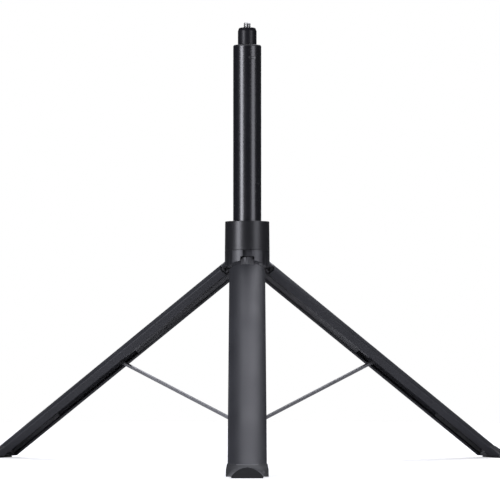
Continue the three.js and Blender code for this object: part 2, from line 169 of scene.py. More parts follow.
def finish(name, colour, rough, metal=0.0, grain=1800, stretch=(1, 1, 1), depth=0.01,
           rough_vary=0.05, wear_and_highlight=None, edge=(0.56, 0.64), level=0.5):
    """A surface with a fine grain, its depth in mm, broad uneven patches, and rubbed edges painted lighter, which
    stand for wear and also paint an edge highlight.
    """
    made = bpy.data.materials.new(name)
    made.use_nodes = True
    nodes, links = made.node_tree.nodes, made.node_tree.links
    shader = nodes["Principled BSDF"]
    place = nodes.new("ShaderNodeAttribute")
    place.attribute_name = "grain_place"
    fine = noise(nodes, links, place.outputs["Vector"], grain, 3, stretch)
    broad = noise(nodes, links, place.outputs["Vector"], PATCH_SCALE, 5)
    darker = tuple(part * (1 - PATCH_SHADE) for part in colour)
    lighter = tuple(part * (1 + PATCH_SHADE) for part in colour)
    shade = blended(nodes, links, spread(nodes, links, broad, 0, 1), darker, lighter)
    # Convex edges, found by their pointiness, are painted in a lighter colour: partly wear, partly a painted
    # highlight along ridges and rims.
    if wear_and_highlight:
        geometry = nodes.new("ShaderNodeNewGeometry")
        rubbed_and_highlit = spread(nodes, links, geometry.outputs["Pointiness"], 0, 1, *edge)
        patchy_wear_and_highlight = nodes.new("ShaderNodeMath")
        patchy_wear_and_highlight.operation = "MULTIPLY"
        links.new(rubbed_and_highlit, patchy_wear_and_highlight.inputs[0])
        links.new(spread(nodes, links, broad, 0.25, 0.8), patchy_wear_and_highlight.inputs[1])
        shade = blended(nodes, links, patchy_wear_and_highlight.outputs[0], shade, wear_and_highlight)
    links.new(shade, shader.inputs["Base Color"])
    both = nodes.new("ShaderNodeMath")
    both.operation = "ADD"
    links.new(spread(nodes, links, fine, -rough_vary / 2, rough_vary / 2), both.inputs[0])
    links.new(spread(nodes, links, broad, rough - rough_vary, rough + rough_vary), both.inputs[1])
    links.new(both.outputs[0], shader.inputs["Roughness"])
    bump = nodes.new("ShaderNodeBump")
    bump.inputs["Distance"].default_value = depth * MM
    bump.inputs["Strength"].default_value = 1
    links.new(fine, bump.inputs["Height"])
    links.new(bump.outputs["Normal"], shader.inputs["Normal"])
    shader.inputs["Metallic"].default_value = metal
    shader.inputs["Specular IOR Level"].default_value = level
    return made


# Each edge colour paints a highlight on ridges and rims as well as wear.
LOOKS = {
    "gloss_tube": dict(colour=(0.004, 0.004, 0.006), rough=0.27, grain=900, stretch=(1, 1, 0.03),
                       depth=0.0015, rough_vary=0.02, level=0.6),
    "leg_grey": dict(colour=(0.018, 0.0185, 0.022), rough=0.50, grain=1600, depth=0.008,
                     wear_and_highlight=(0.07, 0.07, 0.075), level=0.42),
    "satin_black": dict(colour=(0.007, 0.0072, 0.0085), rough=0.38, grain=2600, depth=0.008,
                        wear_and_highlight=(0.05, 0.05, 0.055), level=0.44),
    "head_black": dict(colour=(0.008, 0.008, 0.010), rough=0.36, grain=1200, stretch=(0.05, 0.05, 1),
                       depth=0.005, wear_and_highlight=(0.05, 0.05, 0.05), level=0.22),
    "dark_plastic": dict(colour=(0.012, 0.0125, 0.014), rough=0.46, grain=2200, depth=0.015),
    # The liner's edge colour, far lighter than its body, paints a highlight on the boot's rim and the liner's
    # edges, besides wear.
    "liner_plastic": dict(colour=(0.022, 0.0225, 0.024), rough=0.6, grain=2200, depth=0.015,
                          wear_and_highlight=(0.16, 0.16, 0.165), edge=(0.505, 0.54), level=0.34),
    "nylon": dict(colour=(0.05, 0.05, 0.053), rough=0.45, grain=1500, depth=0.01),
    "steel": dict(colour=(0.09, 0.09, 0.094), rough=0.45, metal=0.6, grain=1400,
                  stretch=(1, 1, 0.05), depth=0.006, rough_vary=0.08),
    "bright_steel": dict(colour=(0.42, 0.42, 0.41), rough=0.26, metal=1, grain=1800,
                         stretch=(0.1, 0.1, 1), depth=0.004, rough_vary=0.06),
    "rubber": dict(colour=(0.010, 0.010, 0.011), rough=0.78, grain=3000, depth=0.03, level=0.35),
}
FINISHES = {name: finish(name, **look) for name, look in LOOKS.items()}


# ---- mesh tools ----
MERGE_DISTANCE = 1e-6
FLAT_ANGLE = radians(0.4)


def kept(name, work):
    """A new object of a bmesh, with its faces pointing out."""
    bmesh.ops.recalc_face_normals(work, faces=work.faces[:])
    mesh = bpy.data.meshes.new(name)
    work.to_mesh(mesh)
    work.free()
    made = bpy.data.objects.new(name, mesh)
    bpy.context.scene.collection.objects.link(made)
    return made


def eased(corners, steps=5):
    """An outline of (x, y) or (x, y, radius) corners as points, with an arc for each radius."""
    points = []
    for index, corner in enumerate(corners):
        at = Vector(corner[:2])
        radius = corner[2] if len(corner) > 2 else 0
        if radius == 0:
            points.append(at)
            continue
        before = (Vector(corners[index - 1][:2]) - at).normalized()
        after = (Vector(corners[(index + 1) % len(corners)][:2]) - at).normalized()
        half = before.angle(after) / 2
        centre = at + (before + after).normalized() * radius / sin(half)
        spokes = [at + side * radius / tan(half) - centre for side in (before, after)]
        first, last = (atan2(spoke.y, spoke.x) for spoke in spokes)
        sweep = (last - first + pi) % (2 * pi) - pi
        for step in range(steps + 1):
            angle = first + sweep * step / steps
            points.append(centre + radius * Vector((cos(angle), sin(angle))))
    return points


def joined_rings(work, lower, upper):
    """Faces between two rings of the same number of points."""
    for step in range(len(lower)):
        after = (step + 1) % len(lower)
        work.faces.new((lower[step], lower[after], upper[after], upper[step]))


def turned(name, corners, segments=96, steps=4):
    """A closed (radius, height) outline turned about Z."""
    work = bmesh.new()
    rings = []
    for radius, height in eased(corners, steps):
        if radius < MERGE_DISTANCE:
            rings.append([work.verts.new((0, 0, height))])
            continue
        angles = (2 * pi * step / segments for step in range(segments))
        rings.append([work.verts.new((radius * cos(a), radius * sin(a), height)) for a in angles])
    for lower, upper in zip(rings, rings[1:] + rings[:1]):
        if len(lower) == len(upper) == segments:
            joined_rings(work, lower, upper)
            continue
        for step in range(segments):
            after = (step + 1) % segments
            if len(upper) == segments:
                work.faces.new((lower[0], upper[after], upper[step]))
            elif len(lower) == segments:
                work.faces.new((lower[step], lower[after], upper[0]))
    return kept(name, work)


def extruded(name, points, start, end):
    """An outline of points in X and Y, run along Z."""
    work = bmesh.new()
    ends = [[work.verts.new((x, y, height)) for x, y in points] for height in (start, end)]
    for cap in ends:
        work.faces.new(cap)
    joined_rings(work, *ends)
    return kept(name, work)


def block(name, low, high):
    """A plain cutter between two corners."""
    work = bmesh.new()
    bmesh.ops.create_cube(work, size=1)
    size = [top - bottom for bottom, top in zip(low, high)]
    middle = [(top + bottom) / 2 for bottom, top in zip(low, high)]
    bmesh.ops.scale(work, vec=size, verts=work.verts)
    bmesh.ops.translate(work, vec=middle, verts=work.verts)
    return kept(name, work)


def moved(piece, place):
    """Takes a piece's mesh to another place, the object itself staying at the origin."""
    piece.data.transform(place)
    return piece


def across(radius, half, place=Matrix(), segments=32):
    """A plain round bar along X."""
    bar = turned("bar", [(0, -half), (radius, -half), (radius, half), (0, half)], segments)
    return moved(bar, place @ Matrix.Rotation(pi / 2, 4, "Y"))


def baked(piece):
    """Applies the piece's modifiers."""
    graph = bpy.context.evaluated_depsgraph_get()
    mesh = bpy.data.meshes.new_from_object(piece.evaluated_get(graph))
    piece.modifiers.clear()
    piece.data = mesh
    return piece


def worked(piece, operation, others):
    """Joins, cuts or crops a piece by other solids, which are used up."""
    for other in others:
        step = piece.modifiers.new(operation, "BOOLEAN")
        step.operation = operation
        step.solver = "EXACT"
        step.object = other
    baked(piece)
    for other in others:
        bpy.data.objects.remove(other)
    return piece


def softened(piece, width, steps=2, angle=40):
    """Rounds the piece's edges and shades its faces smooth."""
    bevel = piece.modifiers.new("edges", "BEVEL")
    bevel.width = width
    bevel.segments = steps
    bevel.limit_method = "ANGLE"
    bevel.angle_limit = radians(angle)
    bevel.use_clamp_overlap = True
    return shaded(baked(piece))


def shaded(piece, angle=50):
    """Shades a piece smooth, up to an angle between its faces."""
    piece.data.shade_smooth()
    piece.data.set_sharp_from_angle(angle=radians(angle))
    level = piece.modifiers.new("normals", "WEIGHTED_NORMAL")
    level.keep_sharp = True
    return baked(piece)


def cad_shape(node, place):
    """A copy of a CAD node's shape in another frame, with its flat faces whole again."""
    work = bmesh.new()
    work.from_mesh(frame["nodes"][node].data)
    bmesh.ops.remove_doubles(work, verts=work.verts, dist=MERGE_DISTANCE)
    bmesh.ops.dissolve_limit(
        work, angle_limit=FLAT_ANGLE, verts=work.verts, edges=work.edges, delimit={"NORMAL"})
    return moved(kept(node, work), place.inverted())


GRAIN_SHIFT = 0.13


def stands_for(piece, node, place=Matrix()):
    """Puts a finished piece in a CAD node's place, on its body and in its finish."""
    piece.name = f"{node}_shape"
    mesh = piece.data
    corners = np.empty(len(mesh.vertices) * 3, dtype=np.float32)
    mesh.vertices.foreach_get("co", corners)
    grain_place = mesh.attributes.new("grain_place", "FLOAT_VECTOR", "POINT")
    grain_place.data.foreach_set("vector", corners + sum(map(ord, node)) % 17 * GRAIN_SHIFT)
    mesh.transform(place)
    mesh.materials.clear()
    mesh.materials.append(FINISHES[SLOT_OF[node]])
    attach(piece, BODY_OF[node])
    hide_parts(node)


# ---- the pole ----
TUBE_WALL = 1 * MM
SECTION_WALL = 0.8 * MM
SECTION_GAP = 0.3 * MM
BUSH_DEPTH = 2 * MM
BUSH_EASE = 0.3 * MM
RING_EASE = 1.2 * MM
RING_EASE_SHARE = 0.85
CRIMP_HALF_WIDTH = 3.2 * MM
CRIMP_HALF_HEIGHT = 1.25 * MM
CRIMP_DEPTH = 0.19 * MM
CRIMP_SKIN = 0.01 * MM
CRIMP_STEPS = 14
CRIMP_MARGIN = 1.1
# Each row's distance below the tube's top, and where round the tube its first crimp is.
CRIMP_ROWS = ((10 * MM, radians(-70)), (118 * MM, radians(-38)))
CRIMPS_PER_ROW = 3


def crimped(piece, radius, top):
    """Presses rows of short crimps into the tube's outside."""
    for vertex in piece.data.vertices:
        x, y, z = vertex.co
        if hypot(x, y) < radius - CRIMP_SKIN:
            continue
        for drop, first in CRIMP_ROWS:
            rise = (z - (top - drop)) / CRIMP_HALF_HEIGHT
            if abs(rise) >= 1:
                continue
            for turn in range(CRIMPS_PER_ROW):
                lean = (atan2(y, x) - first - turn * 2 * pi / CRIMPS_PER_ROW + pi) % (2 * pi) - pi
                side = lean * radius / CRIMP_HALF_WIDTH
                if abs(side) < 1:
                    press = CRIMP_DEPTH * (1 - side ** 6) ** 2 * (1 - rise ** 4) ** 2
                    vertex.co.xy *= (radius - press) / radius


def outer_tube():
    """The outer tube, with more rows of points where its crimps are."""
    low, high = TUBE_LOW.z, TUBE_HIGH.z
    radius = radius_of("outer_tube")
    bore = radius - TUBE_WALL
    reach = CRIMP_HALF_HEIGHT * CRIMP_MARGIN
    outline = [(bore, low), (radius, low)]
    for drop, _ in sorted(CRIMP_ROWS, reverse=True):
        middle = high - drop
        for step in range(CRIMP_STEPS + 1):
            outline.append((radius, middle + reach * (2 * step / CRIMP_STEPS - 1)))
    outline += [(radius, high), (bore, high)]
    piece = turned("outer_tube", outline, segments=216)
    crimped(piece, radius, high)
    stands_for(shaded(piece), "outer_tube", POLE)


def section(number):
    """The tube of an inner section."""
    low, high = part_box(f"tube_{number}")
    radius = radius_of(f"tube_{number}")
    bore = radius - SECTION_WALL
    piece = turned("section", [(bore, low.z), (radius, low.z), (radius, high.z), (bore, high.z)])
    stands_for(shaded(piece), f"tube_{number}", POLE)


def guide_ring(number):
    """The rounded ring on top of a section, clear of the next section's tube."""
    low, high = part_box(f"guide_ring_{number}")
    radius = radius_of(f"guide_ring_{number}")
    bore = radius_of(f"tube_{number + 1}") + SECTION_GAP
    ease = min(RING_EASE, (radius - bore) * RING_EASE_SHARE)
    piece = turned("ring", [
        (bore, low.z), (radius, low.z), (radius, high.z, ease), (bore, high.z, 0.2 * MM),
    ])
    stands_for(shaded(piece), f"guide_ring_{number}", POLE)


def bush(node, bore):
    """A bush, its four edges rounded."""
    low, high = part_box(node)
    radius = radius_of(node)
    piece = turned("bush", [
        (bore, low.z, BUSH_EASE), (radius, low.z, BUSH_EASE),
        (radius, high.z, BUSH_EASE), (bore, high.z, BUSH_EASE),
    ])
    stands_for(shaded(piece), node, POLE)


HEAD_GAP = 0.1 * MM
HEAD_TAPER_HEIGHT = 2.6 * MM
HEAD_TAPER = 0.9 * MM
SCREW_HOLE_R = 3.475 * MM
SCREW_HOLE_DEPTH = 7 * MM
SPIGOT_R = 4.8 * MM


def pole_head():
    """The head: a spigot and a neck on the innermost tube, and a tapered top around the screw."""
    low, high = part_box("pole_head")
    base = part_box("guide_ring_1")[1].z + HEAD_GAP
    radius = radius_of("pole_head")
    neck = radius_of("tube_5")
    tube_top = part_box("tube_5")[1].z
    hole_floor = high.z - SCREW_HOLE_DEPTH
    piece = turned("head", [
        (0, low.z), (SPIGOT_R, low.z, 0.4 * MM), (SPIGOT_R, tube_top), (neck, tube_top), (neck, base),
        (radius, base, 0.35 * MM), (radius, high.z - HEAD_TAPER_HEIGHT, 0.9 * MM),
        (radius - HEAD_TAPER, high.z, 0.35 * MM), (SCREW_HOLE_R, high.z, 0.15 * MM),
        (SCREW_HOLE_R, hole_floor), (0, hole_floor),
    ], segments=128)
    stands_for(shaded(piece), "pole_head", POLE)


FACE_RINGS = 5
FACE_RING_DEPTH = 0.12 * MM
FACE_OUTER_LAND = 0.4 * MM
FACE_LANDS = 0.6 * MM


def head_pad():
    """The thin rubber face, with fine rings to grip what the screw holds."""
    low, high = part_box("head_pad")
    radius = radius_of("head_pad")
    pitch = (radius - SCREW_HOLE_R - FACE_LANDS) / FACE_RINGS
    outline = [(SCREW_HOLE_R, low.z), (radius, low.z), (radius, high.z, 0.08 * MM)]
    for step in range(FACE_RINGS):
        start = radius - FACE_OUTER_LAND - step * pitch
        outline.append((start, high.z))
        outline.append((start - pitch * 0.25, high.z - FACE_RING_DEPTH))
        outline.append((start - pitch * 0.5, high.z))
    outline.append((SCREW_HOLE_R, high.z))
    stands_for(shaded(turned("pad", outline)), "head_pad", POLE)


# THREAD_CREST is half the crest's width and THREAD_FLANK a flank's width, as shares of the pitch.
THREAD_PITCH = 1.27 * MM
THREAD_DEPTH = 0.62 * MM
THREAD_CREST = 0.07
THREAD_FLANK = 0.32
THREAD_LEAD = 0.8 * MM
THREAD_LEAD_SLOPE = 0.95
THREAD_AROUND = 72
THREAD_ROWS_PER_TURN = 16


def camera_screw():
    """A real quarter-inch thread, with its lead tapered."""
    low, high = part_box("camera_screw")
    major = radius_of("camera_screw")
    rows = round((high.z - low.z) / THREAD_PITCH * THREAD_ROWS_PER_TURN)
    work = bmesh.new()
    rings = []
    for row in range(rows + 1):
        height = low.z + (high.z - low.z) * row / rows
        limit = major - max(0, height - (high.z - THREAD_LEAD)) * THREAD_LEAD_SLOPE
        ring = []
        for step in range(THREAD_AROUND):
            phase = (height / THREAD_PITCH - step / THREAD_AROUND) % 1
            flank = min(1, max(0, (abs(phase - 0.5) - THREAD_CREST) / THREAD_FLANK))
            radius = min(limit, major - THREAD_DEPTH * flank)
            angle = 2 * pi * step / THREAD_AROUND
            ring.append(work.verts.new((radius * cos(angle), radius * sin(angle), height)))
        rings.append(ring)
    for lower, upper in zip(rings, rings[1:]):
        joined_rings(work, lower, upper)
    work.faces.new(rings[0])
    work.faces.new(rings[-1])
    stands_for(shaded(kept("screw", work), 60), "camera_screw", POLE)


# ---- the collar ----
COLLAR_BORE = TUBE_HIGH.x - AXIS.x + 0.35 * MM
SLEEVE_BORE = 14.2 * MM
SLEEVE_TAPER = 0.28 * MM
SLEEVE_ROOF = 2 * MM
SEAM_EASE = 0.16 * MM
COLLAR_SEGMENTS = 144


def collar_sleeve():
    """The collar's upper part: slightly tapered, open below, with a roof round the tube."""
    low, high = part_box("collar_sleeve")
    foot = radius_of("collar_sleeve")
    ceiling = high.z - SLEEVE_ROOF
    piece = turned("sleeve", [
        (SLEEVE_BORE, low.z), (foot, low.z, SEAM_EASE), (foot - SLEEVE_TAPER, high.z, 0.6 * MM),
        (COLLAR_BORE, high.z, 0.4 * MM), (COLLAR_BORE, ceiling), (SLEEVE_BORE, ceiling),
    ], segments=COLLAR_SEGMENTS, steps=5)
    stands_for(shaded(piece), "collar_sleeve", POLE)


KNUCKLE_R = 4 * MM
HINGE_PIN_R = 0.95 * MM
HINGE_PIN_HALF = 6.9 * MM
HINGE_PIN_GAP = 0.1 * MM
TAB_HALF = 5.5 * MM
TAB_FRONT = 4 * MM
TAB_BACK = 3.2 * MM
TAB_END = 7.75 * MM
TAB_GAP = 0.2 * MM
TAB_FACE_GAP = 0.05 * MM
TAB_PIN_GAP = 0.15 * MM
HUB_STEP = 0.02 * MM
HUB_EASE = 0.18 * MM
SLOT_GAP = 0.4 * MM
SLOT_FRONT = 10 * MM
SLOT_BACK = 4.3 * MM
NOSE_TOP = 6 * MM
NOSE_END = 4.3 * MM
NOSE_INSIDE_R = 14 * MM
NOSE_ROOM = 8 * MM
WINDOW_HALF = 3.85 * MM
WINDOW_FRONT = 5 * MM
WINDOW_HEIGHT = 9 * MM
WINDOW_FLOOR_R = 15.6 * MM
LEG_R = 19 * MM
LEG_FACE_ANGLE = radians(54.5)


def leg_arc(radius, start, end, steps):
    """Points of an arc about the pole's axis as the folded leg's frame sees it."""
    angles = (start + (end - start) * step / steps for step in range(steps + 1))
    return [(radius * sin(angle), HINGE_REACH - radius * cos(angle)) for angle in angles]


def leg_corner(radius, angle):
    """A point at one angle of such an arc."""
    return leg_arc(radius, angle, angle, 1)[0]


def leg_sector(name, outer, outer_angle, inner, inner_angle, start, end, steps=36):
    """Part of a ring about the pole, in a leg's frame, between two distances along the leg."""
    outside = leg_arc(outer, -outer_angle, outer_angle, steps)
    inside = leg_arc(inner, inner_angle, -inner_angle, steps)
    return extruded(name, outside + inside, -end, -start)


def leg_round(name, radius, shift, start, end, segments=144):
    """A cylinder along a leg, its middle moved outward from the pole's axis."""
    body = turned(name, [(0, -end), (radius, -end), (radius, -start), (0, -start)], segments)
    return moved(body, Matrix.Translation((0, HINGE_REACH - shift, 0)))


def leg_hub():
    """The hub the legs hang from, with a slot, a window and a nose for each."""
    low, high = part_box("leg_hub")
    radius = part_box("collar_sleeve")[1].x - AXIS.x + HUB_STEP
    bottom = low.z - HINGE_Z
    hub = moved(turned("hub", [
        (COLLAR_BORE, low.z), (radius, low.z, 0.4 * MM), (radius, high.z, SEAM_EASE),
        (COLLAR_BORE, high.z),
    ], COLLAR_SEGMENTS), POLE)
    slot_half = TAB_HALF + SLOT_GAP
    slot_top = KNUCKLE_R + SLOT_GAP
    window_back = HINGE_REACH - WINDOW_FLOOR_R
    inner, outer, ceiling = COLLAR_BORE + MM, radius + NOSE_ROOM, high.z - MM
    nose_room = [(inner, low.z), (outer, low.z), (outer, ceiling), (inner, ceiling)]
    noses, cuts = [], []
    for number in LEGS:
        place = hinge_place(number)
        nose = leg_sector("nose", LEG_R, LEG_FACE_ANGLE, NOSE_INSIDE_R, LEG_FACE_ANGLE,
                          -NOSE_TOP, NOSE_END)
        room = moved(turned("room", nose_room, COLLAR_SEGMENTS), POLE)
        noses.append(worked(moved(nose, leg_place(number)), "INTERSECT", [room]))
        slot = block("slot", (-slot_half, -SLOT_FRONT, bottom - MM), (slot_half, SLOT_BACK, slot_top))
        window = block("window", (-WINDOW_HALF, -WINDOW_FRONT, slot_top - MM),
                       (WINDOW_HALF, window_back, slot_top + WINDOW_HEIGHT))
        cuts.append(moved(slot, place))
        cuts.append(moved(window, place))
        cuts.append(across(HINGE_PIN_R + HINGE_PIN_GAP, HINGE_PIN_HALF + HINGE_PIN_GAP, place))
    worked(hub, "UNION", noses)
    worked(hub, "DIFFERENCE", cuts)
    moved(hub, POLE.inverted())
    stands_for(softened(hub, HUB_EASE), "leg_hub", POLE)


# A pin's end, as shares of its radius.
PIN_FLAT_R = 0.55
PIN_DOME_HEIGHT = 0.3
PIN_DOME_EASE = 0.2


def round_pin(node, place):
    """A pin across a joint, its ends slightly domed."""
    low, high = local_box(node, place)
    radius = (high.z - low.z) / 2
    half = (high.x - low.x) / 2
    middle = (low + high) / 2
    flat, ease = radius * PIN_FLAT_R, radius * PIN_DOME_EASE
    shank = half - radius * PIN_DOME_HEIGHT
    pin = turned("pin", [
        (0, -half), (flat, -half), (radius, -shank, ease),
        (radius, shank, ease), (flat, half), (0, half),
    ], segments=40)
    moved(pin, Matrix.Translation(middle) @ Matrix.Rotation(pi / 2, 4, "Y"))
    stands_for(shaded(pin, 40), node, place)


# ---- a leg ----
EDGE_ANGLE = radians(57.5)
INSIDE_ANGLE = radians(48)
LEG_WALL = 1.5 * MM
LINING_R = 17.2 * MM
LINER_START = 5 * MM
SHELL_CORNER_ANGLE = 0.04
NOTCH_DEPTH = 3 * MM
NOTCH_GAP = 0.3 * MM
NOTCH_FRONT = 7 * MM
NOTCH_BACK = 1 * MM
SHELL_SOLE = 1.6 * MM
SHELL_EASE = 0.15 * MM
LINER_EASE = 0.22 * MM
# Half the size of the cutters that reach past a leg's sides, and past its whole length.
LEG_ROOM = 50 * MM
FAR = 400 * MM


def leg_shell(number):
    """A metal channel: a face curved to the closed handle's round, and two side walls."""
    place = leg_place(number)
    low, high = local_box(f"leg_shell_{number}", place)
    outside = HINGE_REACH - low.y
    half = asin(high.x / outside)
    edge = (HINGE_REACH - high.y) / cos(EDGE_ANGLE)
    inside = outside - LEG_WALL
    right = [
        (*leg_corner(outside, half), 0.7 * MM), (*leg_corner(edge, EDGE_ANGLE), 0.2 * MM),
        (*leg_corner(edge, INSIDE_ANGLE), 0.2 * MM), (*leg_corner(inside, INSIDE_ANGLE), 0.5 * MM),
    ]
    left = [(-x, y, ease) for x, y, ease in reversed(right)]
    face = half - SHELL_CORNER_ANGLE
    back = INSIDE_ANGLE - SHELL_CORNER_ANGLE
    outline = leg_arc(outside, -face, face, 30) + right + leg_arc(inside, back, -back, 24) + left
    shell = extruded("shell", eased(outline, 4), low.z, high.z)
    notch_half = TAB_HALF + NOTCH_GAP
    notch = block("notch", (-notch_half, -NOTCH_FRONT, high.z - NOTCH_DEPTH),
                  (notch_half, NOTCH_BACK, high.z + MM))
    ground = moved(block("ground", (-FAR, -FAR, -FAR), (FAR, FAR, SHELL_SOLE)), place.inverted())
    worked(shell, "DIFFERENCE", [notch, ground])
    stands_for(softened(shell, SHELL_EASE), f"leg_shell_{number}", place)


def leg_liner(number):
    """The moulded liner, with its hinge tab rounded to the leg's face."""
    place = leg_place(number)
    node = f"leg_liner_{number}"
    liner = cad_shape(node, place)
    top = block("top", (-LEG_ROOM, -LEG_ROOM, -LINER_START), (LEG_ROOM, LEG_ROOM, LEG_ROOM))
    worked(liner, "DIFFERENCE", [top])
    tab = across(KNUCKLE_R, TAB_HALF, segments=64)
    plate = block("plate", (-TAB_HALF, -TAB_FRONT, -TAB_END + TAB_GAP), (TAB_HALF, TAB_BACK, 0))
    worked(tab, "UNION", [plate])
    face = leg_round("face", LEG_R - TAB_FACE_GAP, 0, -KNUCKLE_R - MM, TAB_END + MM)
    worked(tab, "INTERSECT", [face])
    worked(tab, "DIFFERENCE", [across(HINGE_PIN_R + TAB_PIN_GAP, TAB_HALF + MM)])
    worked(liner, "UNION", [tab])
    stands_for(softened(liner, LINER_EASE), node, place)


# The foot's shapes are given by height above the floor and reach from the pole.
FOOT_REACH = 256.8 * MM
BOOT_SOLE = 1.2 * MM
BOOT_TOP = 10.5 * MM
BOOT_R = 20.4 * MM
BOOT_TOP_R = 19.45 * MM
BOOT_ANGLE = radians(54)
BOOT_EDGE_R = 12.3 * MM
BOOT_STEPS = 48
BOOT_EDGE_STEPS = 12
BOOT_ROWS = 14
FLARE_START = 0.45
BOOT_EASE = 0.16 * MM
RIM_CHAMFER = 1 * MM
SOCKET_R = 19.2 * MM
SOCKET_ANGLE = LEG_FACE_ANGLE + 0.012
SOCKET_INSIDE_R = 10 * MM
SOCKET_EDGE_ANGLE = EDGE_ANGLE + 0.1
SOCKET_START = 250 * MM
SOCKET_END = 288.7 * MM
ARCH_R = 16 * MM
ARCH_SHIFT = 3.3 * MM
PAD_START = 289.8 * MM
PAD_HALF = 12.4 * MM
PAD_INSIDE_R = 8.5 * MM
PAD_SET_BACK = 0.5 * MM
PAD_GAP = 0.15 * MM
PAD_END_GAP = 0.2 * MM
PAD_EASE = 0.25 * MM
TONGUE_ANGLE = INSIDE_ANGLE - 0.02
TONGUE_INSIDE_R = 13 * MM
TONGUE_START = 226 * MM
TONGUE_END = 289.5 * MM
TONGUE_FORK = 285 * MM
TONGUE_GAP_HALF = 10.8 * MM
FOOT_LIMIT = 305 * MM


def boot_point(radius, angle, height):
    """A point of the boot's outside, in the hinge's frame."""
    outward = radius * cos(angle) - HINGE_REACH
    along = (HINGE_Z + outward * sin(SWING) - height) / cos(SWING)
    reach = outward * cos(SWING) + along * sin(SWING)
    return radius * sin(angle), -reach, height - HINGE_Z


def rim_point(point, end):
    """Where the chamfer brings a point of the boot's outline at its upright front, at this Y."""
    middle = end / tan(SWING) - HINGE_REACH / sin(SWING)
    out = Vector((point.x, (point.z - middle) * sin(SWING) ** 2)).normalized()
    return Vector((point.x - out.x * RIM_CHAMFER, end, point.z - out.y * RIM_CHAMFER))


def boot_outline(height):
    """The boot's outline, level, at a height above the floor."""
    climb = (height - BOOT_SOLE) / (BOOT_TOP - BOOT_SOLE)
    rise = max(0, climb - FLARE_START) / (1 - FLARE_START)
    radius = BOOT_R - (BOOT_R - BOOT_TOP_R) * rise ** 2 * (3 - 2 * rise)
    face = [BOOT_ANGLE * (2 * step / BOOT_STEPS - 1) for step in range(BOOT_STEPS + 1)]
    back = [EDGE_ANGLE * (1 - 2 * step / BOOT_EDGE_STEPS) for step in range(BOOT_EDGE_STEPS + 1)]
    points = [boot_point(radius, angle, height) for angle in face]
    return points + [boot_point(BOOT_EDGE_R, angle, height) for angle in back]


def rimmed(work):
    """Cuts the boot off upright at its front, and closes it with a chamfered rim."""
    end = HINGE_REACH - FOOT_REACH
    everything = work.verts[:] + work.edges[:] + work.faces[:]
    bmesh.ops.bisect_plane(
        work, geom=everything, plane_co=(0, end + RIM_CHAMFER, 0), plane_no=(0, -1, 0), clear_outer=True)
    outline = [edge for edge in work.edges if edge.is_boundary]
    inset = {vertex: rim_point(vertex.co, end) for edge in outline for vertex in edge.verts}
    sole = BOOT_SOLE - HINGE_Z
    widest = max(abs(point.x) for point in inset.values() if point.z > sole)
    for point in inset.values():
        if point.z <= sole:
            point.xz = copysign(widest, point.x), sole
    rim = {vertex: work.verts.new(point) for vertex, point in inset.items()}
    for edge in outline:
        first, second = edge.verts
        work.faces.new((first, second, rim[second], rim[first]))
    bmesh.ops.remove_doubles(work, verts=list(rim.values()), dist=MERGE_DISTANCE)
    bmesh.ops.contextual_create(work, geom=[edge for edge in work.edges if edge.is_boundary])


def boot_body():
    """The boot's outside, flaring from the leg's round, in the hinge's frame."""
    work = bmesh.new()
    rings = []
    for row in range(BOOT_ROWS + 1):
        height = BOOT_SOLE + (BOOT_TOP - BOOT_SOLE) * row / BOOT_ROWS
        rings.append([work.verts.new(point) for point in boot_outline(height)])
    for lower, upper in zip(rings, rings[1:]):
        joined_rings(work, lower, upper)
    work.faces.new(rings[0])
    work.faces.new(rings[-1])
    bmesh.ops.recalc_face_normals(work, faces=work.faces[:])
    rimmed(work)
    return kept("boot", work)


def foot_boot(number):
    """The boot: a socket for the leg's end, an arch for the pad, and tongues inside the leg."""
    place = leg_place(number)
    boot = moved(boot_body(), place.inverted() @ hinge_place(number))
    socket = leg_sector("socket", SOCKET_R, SOCKET_ANGLE, SOCKET_INSIDE_R, SOCKET_EDGE_ANGLE,
                        SOCKET_START, SOCKET_END)
    arch = leg_round("arch", ARCH_R + PAD_GAP, ARCH_SHIFT, PAD_START - PAD_END_GAP, FOOT_LIMIT)
    side = PAD_HALF + PAD_GAP
    worked(arch, "INTERSECT", [block("room", (-side, -LEG_ROOM, -FAR), (side, LEG_ROOM, 0))])
    worked(boot, "DIFFERENCE", [socket, arch])
    tongues = leg_sector("tongues", LINING_R, TONGUE_ANGLE, TONGUE_INSIDE_R, TONGUE_ANGLE,
                         TONGUE_START, TONGUE_END)
    fork = block("fork", (-TONGUE_GAP_HALF, -LEG_ROOM, -TONGUE_FORK), (TONGUE_GAP_HALF, LEG_ROOM, 0))
    worked(tongues, "DIFFERENCE", [fork])
    worked(boot, "UNION", [tongues])
    stands_for(softened(boot, BOOT_EASE), f"foot_boot_{number}", place)


def foot_pad(number):
    """The rubber pad that fills the boot's arch and stands on the floor."""
    place = leg_place(number)
    pad = leg_round("pad", ARCH_R, ARCH_SHIFT, PAD_START, FOOT_LIMIT)
    reach = FOOT_REACH - PAD_SET_BACK - HINGE_REACH
    room = block("room", (-PAD_HALF, -reach, -HINGE_Z), (PAD_HALF, 0, 0))
    worked(pad, "INTERSECT", [moved(room, place.inverted() @ hinge_place(number))])
    worked(pad, "DIFFERENCE", [leg_round("core", PAD_INSIDE_R, 0, PAD_START - MM, FOOT_LIMIT + MM)])
    stands_for(softened(pad, PAD_EASE), f"foot_pad_{number}", place)


def leg(number):
    """All the pieces of a leg."""
    leg_shell(number)
    leg_liner(number)
    foot_boot(number)
    foot_pad(number)
    round_pin(f"strut_head_pin_{number}", leg_place(number))
    round_pin(f"hinge_pin_{number}", hinge_place(number))


# ---- a strut ----
STRUT_HALF = 2.25 * MM
EYE_R = 1.9 * MM
EYE_HOLE_R = 1.1 * MM
EYE_STEPS = 24
EYE_NECK_ANGLE = 0.12
EYE_NECK_REACH = 1.25
BAR_HALF = 1.15 * MM
LINK_EASE = 0.3 * MM


